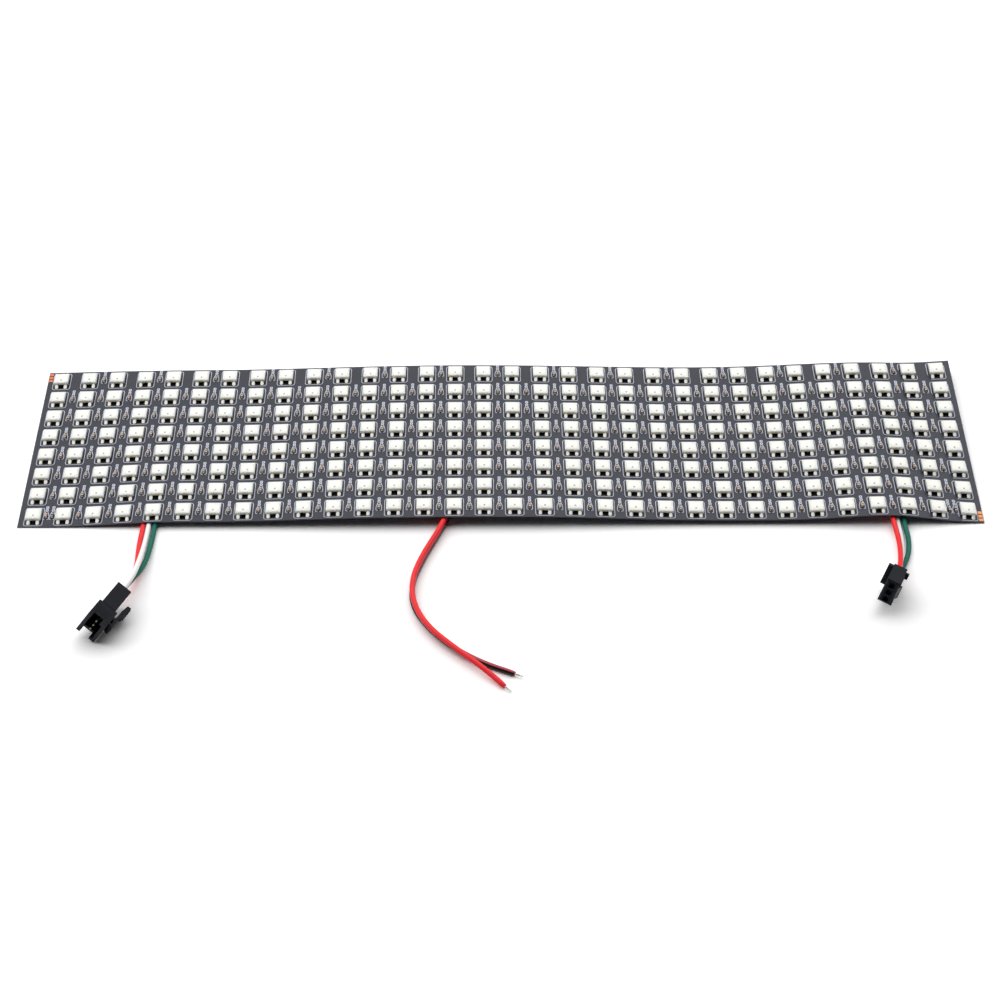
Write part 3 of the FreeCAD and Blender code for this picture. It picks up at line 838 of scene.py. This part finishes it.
@dataclass
class ChipParts:
    """Chip capacitors and resistors: ceramic between two plated ends, with a small joint at each end."""

    shape: SheetShape
    grid: LedGrid
    length: float = 1.6
    width: float = 0.8
    height: float = 0.8
    end: float = 0.34
    end_edge: float = 0.07
    body_inset: float = 0.03
    joint_overlap: float = 0.1
    joint_reach: float = 0.3
    joint_inset: float = 0.05
    joint_foot: float = -0.03
    joint_height: float = 0.42
    joint_edge: float = 0.08
    joint_slope: float = 0.6

    def build(self) -> None:
        """Build one piece for each row of capacitors, and one for the two resistors."""
        pieces = [(f"chip_capacitors_row_{row + 1}", self.grid.capacitor_places(row), CERAMIC, "capacitor",
                   f"capacitor_row_{row + 1}") for row in range(self.grid.rows)]
        pieces.append(("chip_resistors", self.grid.resistor_places(), GLAZE, "resistor", "data_resistors"))
        chip = self.chip()
        for name, places, body, slot, node in pieces:
            bm = bmesh.new()
            stamp(bm, chip, [self.shape.seat(x, y, self.shape.solder_film) for x, y in places])
            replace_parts(mesh_piece(name, bm, [body, PLATING, SOLDER]), node)

    def chip(self) -> Mesh:
        """Make one chip.

        Returns:
            The stencil, with the body, plated ends and joints as materials 0, 1 and 2.
        """
        bm = bmesh.new()
        half, long = self.width / 2, self.length / 2
        inset, middle, narrow = self.body_inset, long - self.end / 2, half - self.joint_inset
        add_box(bm, (-half + inset, -middle, inset), (half - inset, middle, self.height - inset))
        for side in (-1, 1):
            near, far = sorted((side * (long - self.end), side * long))
            add_box(bm, (-half, near, 0.0), (half, far, self.height), bevel=self.end_edge, material=1)
            first = len(bm.verts)
            near, far = sorted((side * (long - self.joint_overlap), side * (long + self.joint_reach)))
            add_box(bm, (-narrow, near, self.joint_foot), (narrow, far, self.joint_height), bevel=self.joint_edge,
                    material=2)
            bm.verts.ensure_lookup_table()
            for vert in bm.verts[first:]:
                if vert.co.z > self.joint_height / 2:
                    vert.co.z -= self.joint_slope * (abs(vert.co.y) - long + self.joint_overlap)
        return kept_mesh(bm)


# ---------------- wires


@dataclass(frozen=True)
class WireGroup:
    """What some wires share: name, diameter in millimetres, kind of far end and the pieces that go with it."""

    name: str
    diameter: float
    far_end: str
    companions: tuple[str, ...]


DATA_IN = WireGroup("data_in", 1.7, "connector", ("socket_housing", "data_in_pins"))
# The strands of both power wires are one piece, which goes with the red one.
POWER_WITH_STRANDS = WireGroup("power", 1.8, "bare", ("lead_strands",))
POWER = WireGroup("power", 1.8, "bare", ())
DATA_OUT = WireGroup("data_out", 1.7, "plug", ("plug_housing", "data_out_contacts"))


@dataclass
class Wire:
    """One wire on its route, in millimetres, from its joint under the sheet to its far end."""

    group: WireGroup
    insulation: Insulation
    length: float
    route: Route
    bare_shrink: float = 0.72

    def build(self) -> None:
        group, colour = self.group, self.insulation.name.lower()
        name = f"wire_{group.name}_{colour}"
        curve = bpy.data.curves.new(name, "CURVE")
        curve.dimensions = "3D"
        curve.twist_mode = "Z_UP"
        curve.resolution_u = 12
        curve.bevel_depth = group.diameter * MM / 2
        curve.bevel_resolution = 6
        curve.use_fill_caps = True
        curve.materials.append(self.insulation.value.material())
        spline = curve.splines.new("NURBS")
        spline.points.add(len(self.route) - 1)
        for point, place in zip(spline.points, self.route):
            point.co = (*(value * MM for value in place), 1.0)
        if group.far_end == "bare":
            spline.points[-1].radius = self.bare_shrink
        spline.order_u = 3
        spline.use_endpoint_u = True
        wire = new_object(name, curve)
        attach(wire, "root")
        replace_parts(wire, f"{group.name}_{colour}_wire")
        LOG.info("%s: %.1f mm", name, self.length)


@dataclass
class Wiring:
    """The eight wires: three for data at each end of the sheet and the power pair in its middle."""

    strand_count: int = 6
    strand_sides: int = 6
    strand_radius: float = 0.09
    strand_length: float = 2.6
    strand_depth: float = 1.5
    strand_steps: int = 8
    strand_twist: float = 120.0
    end_straight: float = 0.5
    ends: tuple[tuple[Point, Point], ...] = (
        ((0.9, -112.7, 0.9), (0.7214, -0.6829, -0.1154)), ((4.1, -107.5, 0.9), (0.9117, -0.4108, 0.0)))

    def wires(self) -> list[Wire]:
        """List the wires with their lengths and routes.

        Returns:
            All wires; each route is in millimetres.
        """
        return [
            Wire(DATA_IN, Insulation.WHITE, 50.2, (
                (-116.1, -31.5, 0.9), (-116.1, -40.5, 0.9), (-116.4, -50.0, 1.7), (-116.7, -60.5, 4.3),
                *SOCKET_SEAT.wire_entry(0))),
            Wire(DATA_IN, Insulation.GREEN, 50.1, (
                (-114.0, -31.5, 0.9), (-114.1, -40.5, 0.9), (-114.4, -50.0, 1.2), (-115.3, -61.5, 2.6),
                *SOCKET_SEAT.wire_entry(1))),
            Wire(DATA_IN, Insulation.RED, 48.6, (
                (-118.2, -31.5, 0.9), (-117.9, -40.5, 0.9), (-118.4, -50.0, 1.0), (-117.7, -62.5, 1.8),
                *SOCKET_SEAT.wire_entry(2))),
            Wire(POWER_WITH_STRANDS, Insulation.RED, 96.9, (
                (-17.6, -28.5, 2.7), (-17.0, -35.5, 2.75), (-20.0, -44.8, 2.75), (-25.1, -56.0, 2.75),
                (-28.5, -67.5, 2.75), (-27.9, -78.5, 2.75), (-23.1, -89.0, 2.75), (-14.0, -98.6, 2.7),
                (-5.9, -105.8, 2.1), *self.bare_end(0))),
            Wire(POWER, Insulation.BLACK, 97.0, (
                (-14.4, -28.5, 1.7), (-16.4, -34.0, 0.95), (-20.1, -44.8, 0.9), (-24.9, -56.0, 0.9),
                (-28.5, -67.5, 0.9), (-28.2, -78.5, 0.9), (-22.2, -89.0, 0.9), (-13.6, -97.6, 0.9),
                (-5.0, -103.4, 0.9), *self.bare_end(1))),
            Wire(DATA_OUT, Insulation.RED, 41.2, (
                (129.7, -31.5, 2.2), (129.6, -40.5, 2.2), (130.0, -49.0, 2.7), (129.4, -57.5, 4.4),
                *PLUG_SEAT.wire_entry(0))),
            Wire(DATA_OUT, Insulation.WHITE, 42.3, (
                (131.6, -31.5, 2.2), (131.1, -40.5, 1.2), (131.5, -49.0, 1.1), (130.1, -57.8, 2.4),
                *PLUG_SEAT.wire_entry(1))),
            Wire(DATA_OUT, Insulation.GREEN, 43.9, (
                (133.5, -31.5, 2.2), (133.1, -40.5, 1.6), (133.9, -49.5, 1.0), (132.0, -58.0, 1.1),
                *PLUG_SEAT.wire_entry(2))),
        ]

    def bare_end(self, number: int) -> Route:
        """Last two points of a power wire, red first: just before its end, and the end."""
        place, direction = (Vector(values) for values in self.ends[number])
        return tuple(tuple(place - direction * back) for back in (self.end_straight, 0.0))

    def strands(self) -> Mesh:
        """Make the twisted strands that stand out of one bare end, along +Z from inside the insulation.

        Returns:
            The stencil.
        """
        bm = bmesh.new()
        step = Vector((0.0, 0.0, (self.strand_length + self.strand_depth) / self.strand_steps))
        turn = Matrix.Rotation(math.radians(self.strand_twist) / self.strand_steps, 3, "Z")
        for number in range(self.strand_count + 1):
            angle = 2 * math.pi * number / self.strand_count
            ring = 0.0 if number == self.strand_count else 2 * self.strand_radius
            place = Matrix.Translation((ring * math.cos(angle), ring * math.sin(angle), -self.strand_depth))
            circle = bmesh.ops.create_circle(bm, cap_ends=True, segments=self.strand_sides,
                                             radius=self.strand_radius, matrix=place)
            tip = circle["verts"][0].link_faces[0]
            for _ in range(self.strand_steps):
                grown = bmesh.ops.extrude_face_region(bm, geom=[tip])["geom"]
                tip = next(part for part in grown if isinstance(part, BMFace))
                bmesh.ops.rotate(bm, cent=(0.0, 0.0, 0.0), matrix=turn, verts=list(tip.verts))
                bmesh.ops.translate(bm, vec=step, verts=list(tip.verts))
        bmesh.ops.recalc_face_normals(bm, faces=bm.faces)
        return kept_mesh(bm)

    def build(self) -> None:
        """Build all wires and the strands that stand out of the power pair."""
        bm = bmesh.new()
        stamp(bm, self.strands(), [Matrix.Scale(MM, 4) @ pointing(place, direction) for place, direction in self.ends])
        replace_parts(mesh_piece("lead_strands", bm, [STRAND]), "power_lead_ends")
        for wire in self.wires():
            wire.build()


@dataclass(frozen=True)
class ConnectorSeat:
    """Where a connector lies: its rear middle in millimetres and its turn, lean and nose-up angle in degrees."""

    position: Point
    turn: float
    nose_up: float
    lean: float
    contact_pitch: float = 2.5
    straight_out: float = 5.0
    entry_depth: float = 3.0

    def matrix(self) -> Matrix:
        """Placement of connector coordinates: along the mating axis, across the thickness, up the width."""
        turn = (Matrix.Rotation(math.radians(self.turn), 4, "Z") @ Matrix.Rotation(math.radians(-self.nose_up), 4, "Y")
                @ Matrix.Rotation(math.radians(-self.lean), 4, "X"))
        return Matrix.Translation(self.position) @ turn

    def wire_entry(self, number: int) -> Route:
        """Last two points of a wire, behind the connector and inside it, with the contacts counted from the top."""
        height = (1 - number) * self.contact_pitch
        return tuple(tuple(self.matrix() @ Vector((along, 0.0, height)))
                     for along in (-self.straight_out, self.entry_depth))


SOCKET_SEAT = ConnectorSeat((-121.0, -77.0, 6.05), -114.5, 1.9, 32.0)
PLUG_SEAT = ConnectorSeat((126.2, -69.6, 4.6), -111.8, 20.0, 12.4, straight_out=2.0)


@dataclass
class Connectors:
    """Both moulded connectors, taken over from the CAD solids with rounded edges, and their contacts."""

    edge: float = 0.16
    edge_steps: int = 2
    weld_distance: float = 0.001
    flat_degrees: float = 1.0
    sharp_degrees: float = 28.0
    smooth_degrees: float = 12.0

    def build(self, nodes: dict[str, Object]) -> None:
        """Build both housings and finish the contacts.

        Args:
            nodes: The CAD nodes by name.
        """
        dress(nodes, CONTACT, "data_in_pins", "data_out_contacts")
        self.housing(nodes["data_in_socket"], "socket_housing")
        self.housing(nodes["data_out_plug"], "plug_housing")

    def housing(self, node: Object, title: str) -> None:
        """Copy a housing from its CAD solid and round its edges.

        Args:
            node: The CAD node, which the piece stands for.
            title: Name of the piece.
        """
        bm = bmesh.new()
        bm.from_mesh(node.data)
        bmesh.ops.remove_doubles(bm, verts=bm.verts, dist=self.weld_distance * MM)
        bmesh.ops.dissolve_limit(bm, angle_limit=math.radians(self.flat_degrees), verts=bm.verts, edges=bm.edges)
        sharp = [edge for edge in bm.edges if len(edge.link_faces) == 2
                 and edge.calc_face_angle(0.0) > math.radians(self.sharp_degrees)]
        bmesh.ops.bevel(bm, geom=sharp, offset=self.edge * MM, segments=self.edge_steps, profile=0.5, affect="EDGES",
                        material=-1, clamp_overlap=True)
        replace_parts(mesh_piece(title, bm, [NYLON], self.smooth_degrees), node.name)


# ---------------- studio


@dataclass
class Studio:
    """Camera at the photograph's angle, floor, world and lamp. Lengths are metres."""

    camera_place: Point = (-0.00656, -0.57632, 0.50569)
    camera_right: Point = (0.999929, 0.004754, -0.010961)
    camera_up: Point = (0.004841, 0.677523, 0.735485)
    camera_back: Point = (0.010922, -0.735486, 0.677452)
    focal_pixels: float = 2227.21
    picture: float = 1000.0
    centre_x: float = 455.34
    sensor: float = 36.0
    nearest: float = 0.01
    floor_side: float = 6.0
    world_fill: float = 0.03
    lamp_place: Point = (-0.15, 0.55, 1.05)
    lamp_sides: Place = (6.0, 1.7)
    lamp_watts: float = 66.0

    def build(self) -> None:
        """Build the whole studio."""
        self.camera()
        self.floor()
        self.world()
        self.key_lamp()
        bpy.context.scene.view_settings.view_transform = "Standard"

    def camera(self) -> None:
        """Set the camera from the fitted axes of the picture."""
        data = bpy.data.cameras.new("photo_camera")
        data.sensor_width = self.sensor
        data.lens = self.focal_pixels * self.sensor / self.picture
        data.shift_x = 0.5 - self.centre_x / self.picture
        data.clip_start = self.nearest
        camera = new_object("photo_camera", data)
        turn = Matrix((self.camera_right, self.camera_up, self.camera_back)).transposed().to_4x4()
        camera.matrix_world = Matrix.Translation(self.camera_place) @ turn
        bpy.context.scene.camera = camera

    def floor(self) -> None:
        """Lay the paper under the object."""
        bm = bmesh.new()
        bmesh.ops.create_grid(bm, x_segments=1, y_segments=1, size=self.floor_side / 2)
        mesh = kept_mesh(bm, "studio_floor")
        mesh.materials.append(StudioFloorFinish().material())
        new_object("studio_floor", mesh)

    def world(self) -> None:
        """Light the scene all round, and show white behind it to the camera."""
        world = bpy.data.worlds.new("studio_world")
        bpy.context.scene.world = world
        world.use_nodes = True
        tree = world.node_tree
        tree.nodes.clear()
        path = add_node(tree, "ShaderNodeLightPath")
        strength = add_node(tree, "ShaderNodeMapRange", {"Value": path.outputs["Is Camera Ray"],
                                                         "To Min": self.world_fill, "To Max": 1.0})
        glow = add_node(tree, "ShaderNodeBackground", {"Color": linear("#ffffff"), "Strength": strength.outputs[0]})
        add_node(tree, "ShaderNodeOutputWorld", {"Surface": glow.outputs[0]})

    def key_lamp(self) -> None:
        """Hang a soft box that faces the object."""
        data = bpy.data.lights.new("key_lamp", "AREA")
        data.shape = "RECTANGLE"
        data.size, data.size_y = self.lamp_sides
        data.energy = self.lamp_watts
        new_object("key_lamp", data).matrix_world = pointing(self.lamp_place, self.lamp_place)


def main() -> None:
    """Build the studio and every piece of the object."""
    logging.basicConfig(level=logging.INFO, format="%(message)s")
    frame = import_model()
    nodes = frame["nodes"]
    Studio().build()
    Connectors().build(nodes)
    Wiring().build()
    shape = SheetShape()
    grid = LedGrid()
    PrintedSheet(shape, grid).build()
    LedPackages(shape, grid).build()
    ChipParts(shape, grid).build()
    dress(nodes, COPPER, "right_edge_pads")
    dress(nodes, COPPER_IN_PAINTED_LIGHT, "left_edge_pads")
    dress(nodes, SOLDER, "data_in_solder_joints", "power_solder_joints", "data_out_solder_joints")


if __name__ == "__main__":
    main()
